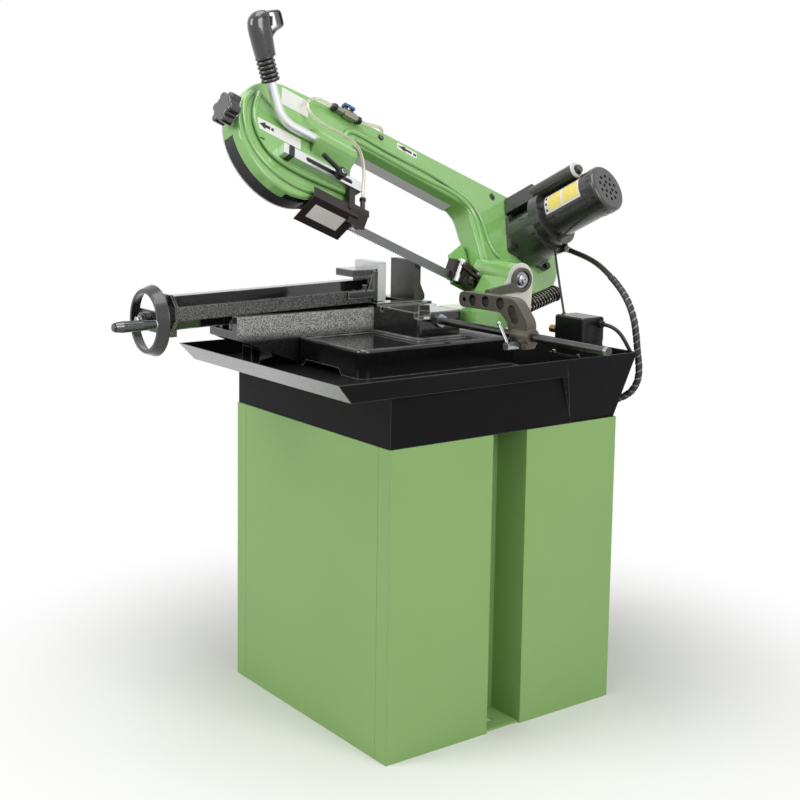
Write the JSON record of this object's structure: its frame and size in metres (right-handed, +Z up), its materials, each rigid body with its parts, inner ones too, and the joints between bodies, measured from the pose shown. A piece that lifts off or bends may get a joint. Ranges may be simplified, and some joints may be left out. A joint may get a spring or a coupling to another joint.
{
  "type": "metal cutting band saw",
  "caption": "Horizontal metal cutting band saw on a cabinet stand: a spring-held bow with band wheels and guides swings down on a swivel over a screw vise, chip tray and length stop.",
  "frame": {"origin": "on the floor, midway between the two anchor holes of the cabinet", "axes": "+Z up, -Y the operator's side with the handwheel, +X the operator's right, where the length stop is"},
  "size_m": [0.815, 1.1418, 1.3876],
  "materials": {
    "paint_light_green": "gloss enamel on cast metal",
    "paint_green": "satin powder coat",
    "paint_black": "gloss black enamel on rough casting",
    "tray_black": "satin black powder coat",
    "black_plastic": "moulded",
    "rubber": "matt",
    "steel": "ground",
    "black_steel": "blackened",
    "chrome": "bright plated",
    "cast_iron": "machined",
    "aluminium": "machined",
    "guide_brown": "dark enamel",
    "paint_grey": "satin grey enamel on sheet",
    "brass": "turned",
    "blue_plastic": "moulded",
    "clear_hose": "translucent flexible tube"
  },
  "bodies": {
    "base": {"cabinet_side_right": "paint_green", "cabinet_side_left": "paint_green", "cabinet_front_panel": "paint_green", "cabinet_rear_panel": "paint_green", "chip_tray": "tray_black", "base_casting": "paint_black", "swivel_pin": "steel", "fixed_jaw": "steel", "stop_rod": "chrome", "base_fasteners": "steel", "switch_bracket": "tray_black", "switch_box": "black_plastic", "switch_box_lid": "black_plastic", "box_glands": "brass", "box_cable": "rubber", "cable_lower": "rubber", "lead_lower": "rubber"},
    "vise_slide": {"vise_beam": "paint_black", "moving_jaw": "steel"},
    "handwheel": {"vise_screw": "steel", "vise_handwheel": "paint_black"},
    "crank_grip": {"handwheel_grip": "black_plastic"},
    "stop": {"stop_arm": "paint_black"},
    "stop_clamp": {"stop_lever": "chrome"},
    "swivel": {"swivel_bracket": "paint_light_green", "pivot_shaft": "chrome", "pivot_stay": "black_steel", "return_spring": "black_steel", "spring_rod": "black_steel", "cable_upper": "rubber", "lead_upper": "rubber"},
    "bow": {"bow_frame": "paint_light_green", "wheel_cover": "paint_grey", "front_guard": "black_steel", "saw_band": "steel", "rear_guide": "guide_brown", "rear_guide_rollers": "steel", "rear_guide_clamp": "black_steel", "gearbox": "paint_black", "motor": "paint_black", "fan_cover": "black_plastic", "capacitor_housing": "black_plastic", "gearbox_bolts": "steel", "handle_tube": "chrome", "handle_boot": "rubber", "handle_grip": "black_plastic", "coolant_valve": "brass", "hose_front": "clear_hose", "hose_rear": "clear_hose"},
    "drive": {"drive_wheel": "cast_iron"},
    "tension": {"tension_slide": "steel"},
    "idler": {"idler_wheel": "cast_iron"},
    "tension_knob": {"tension_knob": "black_plastic"},
    "guide_arm": {"guide_bar": "aluminium", "front_guide": "guide_brown", "front_guide_rollers": "steel", "guide_guard": "guide_brown"},
    "guide_clamp": {"guide_clamp_lever": "black_plastic"},
    "trigger": {"trigger": "black_plastic"},
    "valve_lever": {"valve_lever": "blue_plastic"}
  },
  "joints": [
    {"name": "swivel", "type": "hinge", "parent": "base", "child": "swivel", "pos_m": [-0.075, 0.05, 0.76], "axis": [0, 0, 1], "range_deg": [0, 45], "deforming": ["cable_lower", "lead_lower"]},
    {"name": "bow_tilt", "type": "hinge", "parent": "swivel", "child": "bow", "pos_m": [-0.06, 0.225, 0.85], "axis": [1, 0, 0], "range_deg": [-3, 23.4], "deforming": ["cable_upper", "lead_upper"]},
    {"name": "drive_spin", "type": "hinge", "parent": "bow", "child": "drive", "pos_m": [-0.156, 0.38391, 0.89354], "axis": [0.866, 0.1986, 0.4589], "continuous": true},
    {"name": "band_tension", "type": "slide", "parent": "bow", "child": "tension", "axis": [0, 0.9178, -0.3971], "range_m": [0, 0.008]},
    {"name": "idler_spin", "type": "hinge", "parent": "tension", "child": "idler", "pos_m": [-0.133, -0.25965, 1.12863], "axis": [0.866, 0.1986, 0.4589], "continuous": true},
    {"name": "tension_turn", "type": "hinge", "parent": "bow", "child": "tension_knob", "pos_m": [-0.1161, -0.37784, 1.18537], "axis": [0, 0.9178, -0.3971], "range_deg": [0, 1440.1]},
    {"name": "guide_slide", "type": "slide", "parent": "bow", "child": "guide_arm", "axis": [0, 0.9178, -0.3971], "range_m": [0, 0.06], "deforming": ["hose_front"]},
    {"name": "guide_clamp_turn", "type": "hinge", "parent": "bow", "child": "guide_clamp", "pos_m": [-0.0647, -0.17148, 1.07053], "axis": [0.866, 0.1986, 0.4589], "range_deg": [-35, 35]},
    {"name": "trigger_pull", "type": "slide", "parent": "bow", "child": "trigger", "axis": [0, -1, 0], "range_m": [0, 0.004], "stiffness_N_per_m": 500, "springref_m": -0.002},
    {"name": "valve_turn", "type": "hinge", "parent": "bow", "child": "valve_lever", "pos_m": [-0.18065, -0.07193, 1.20488], "axis": [-0.5, 0.3439, 0.7948], "range_deg": [0, 90]},
    {"name": "vise_travel", "type": "slide", "parent": "base", "child": "vise_slide", "axis": [0, 1, 0], "range_m": [-0.085, 0.052]},
    {"name": "handwheel_turn", "type": "hinge", "parent": "vise_slide", "child": "handwheel", "pos_m": [-0.16, -0.541, 0.791], "axis": [0, 1, 0], "range_deg": [-5101, 3121]},
    {"name": "crank_spin", "type": "hinge", "parent": "handwheel", "child": "crank_grip", "pos_m": [-0.108, -0.6, 0.791], "axis": [0, 1, 0], "continuous": true},
    {"name": "stop_travel", "type": "slide", "parent": "base", "child": "stop", "axis": [1, 0, 0], "range_m": [-0.04, 0.18]},
    {"name": "stop_clamp_turn", "type": "hinge", "parent": "stop", "child": "stop_clamp", "pos_m": [0.3, -0.03, 0.763], "axis": [0, 1, 0], "range_deg": [-30, 60]}
  ],
  "couplings": [
    {"joint": "idler_spin", "follows": "drive_spin", "ratio": 1},
    {"joint": "tension_turn", "follows": "band_tension", "rad_per_m": 3141.6},
    {"joint": "handwheel_turn", "follows": "vise_travel", "rad_per_m": 1047.2}
  ]
}
